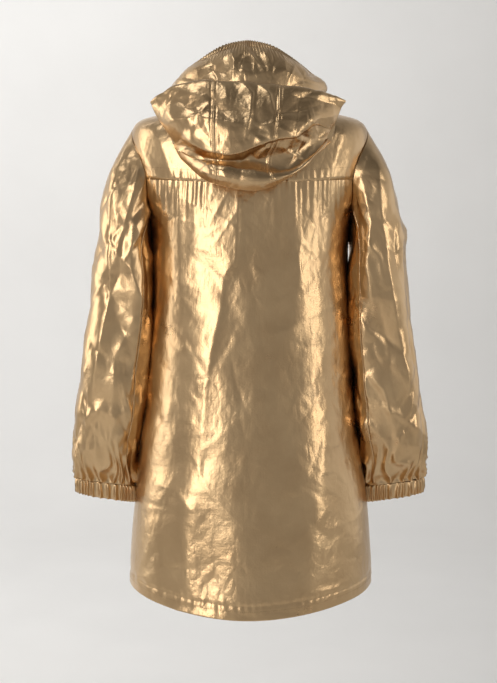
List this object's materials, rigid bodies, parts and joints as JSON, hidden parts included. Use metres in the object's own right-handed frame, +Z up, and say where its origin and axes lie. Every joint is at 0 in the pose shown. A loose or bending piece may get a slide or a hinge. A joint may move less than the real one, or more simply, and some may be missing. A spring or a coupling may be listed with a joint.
{
  "type": "hooded raincoat",
  "caption": "Thigh-length hooded raincoat in metallic coated cloth, zipped shut with the hood lying down, elastic cuffs, back yoke and snapped flap pockets.",
  "frame": {"origin": "middle of the hanger loop's bearing face, inside the back of the neck", "axes": "+Z up as the coat hangs, -Y towards the zip front, +X towards the wearer's left sleeve"},
  "size_m": [0.5858, 0.349, 0.9124],
  "materials": {
    "coated_cloth": "smooth woven polyester with a satin gold metallic polyurethane coating",
    "elastic": "ribbed woven elastic, undyed",
    "woven_tape": "woven polyester tape, bronze brown",
    "zip_coil": "moulded polyester coil, bronze brown",
    "zip_metal": "plated satin, pale gold",
    "snap_metal": "plated satin, pale gold",
    "pocket_lining": "matt plain-woven polyester"
  },
  "bodies": {
    "coat": {"back_yoke": "coated_cloth", "back_panel": "coated_cloth", "left_front": "coated_cloth", "right_front": "coated_cloth", "back_hem_facing": "coated_cloth", "left_front_hem_facing": "coated_cloth", "right_front_hem_facing": "coated_cloth", "neck_facing": "coated_cloth", "zip_guard": "coated_cloth", "hanger_loop": "woven_tape", "zip_tape_left": "woven_tape", "zip_tape_right": "woven_tape", "zip_coil_left": "zip_coil", "zip_coil_right": "zip_coil", "zip_top_stop_left": "zip_metal", "zip_top_stop_right": "zip_metal", "zip_box_pin": "zip_metal", "zip_insertion_pin": "zip_metal", "zip_retainer_box": "zip_metal", "left_pocket_snap_stud_inner": "snap_metal", "left_pocket_snap_stud_outer": "snap_metal", "right_pocket_snap_stud_inner": "snap_metal", "right_pocket_snap_stud_outer": "snap_metal", "left_pocket_bag": "pocket_lining", "right_pocket_bag": "pocket_lining"},
    "zip_slider": {"zip_slider": "zip_metal"},
    "zip_pull": {"zip_pull": "zip_metal"},
    "hood": {"hood_brim": "coated_cloth", "hood_edge_facing": "coated_cloth", "hood_edge_elastic": "elastic", "hood_left_panel": "coated_cloth", "hood_right_panel": "coated_cloth", "hood_center_panel": "coated_cloth"},
    "left_sleeve": {"left_sleeve_upper": "coated_cloth", "left_sleeve_under": "coated_cloth", "left_cuff": "coated_cloth", "left_cuff_elastic": "elastic", "left_cuff_facing": "coated_cloth"},
    "right_sleeve": {"right_sleeve_upper": "coated_cloth", "right_sleeve_under": "coated_cloth", "right_cuff": "coated_cloth", "right_cuff_elastic": "elastic", "right_cuff_facing": "coated_cloth"},
    "left_pocket_flap": {"left_pocket_flap": "coated_cloth", "left_pocket_snap_cap_inner": "snap_metal", "left_pocket_snap_cap_outer": "snap_metal"},
    "right_pocket_flap": {"right_pocket_flap": "coated_cloth", "right_pocket_snap_cap_inner": "snap_metal", "right_pocket_snap_cap_outer": "snap_metal"}
  },
  "joints": [
    {"name": "zip_slide", "type": "slide", "parent": "coat", "child": "zip_slider", "axis": [0, -0.0992, -0.9951], "range_m": [0, 0.686]},
    {"name": "zip_pull_swing", "type": "hinge", "parent": "zip_slider", "child": "zip_pull", "pos_m": [0, -0.15096, -0.07254], "axis": [-1, 0, 0], "range_deg": [0, 160]},
    {"name": "hood_lift", "type": "hinge", "parent": "coat", "child": "hood", "pos_m": [0, -0.146, -0.05], "axis": [1, 0, 0], "range_deg": [0, 45]},
    {"name": "left_sleeve_swing", "type": "hinge", "parent": "coat", "child": "left_sleeve", "pos_m": [0.19, -0.053, -0.03], "axis": [0, -1, 0], "range_deg": [0, 30]},
    {"name": "right_sleeve_swing", "type": "hinge", "parent": "coat", "child": "right_sleeve", "pos_m": [-0.19, -0.053, -0.03], "axis": [0, 1, 0], "range_deg": [0, 30]},
    {"name": "left_pocket_open", "type": "hinge", "parent": "coat", "child": "left_pocket_flap", "pos_m": [0.10304, -0.16744, -0.44201], "axis": [-0.8908, -0.4544, 0], "range_deg": [0, 110]},
    {"name": "right_pocket_open", "type": "hinge", "parent": "coat", "child": "right_pocket_flap", "pos_m": [-0.10304, -0.16744, -0.44201], "axis": [-0.8908, 0.4544, 0], "range_deg": [0, 110]}
  ]
}
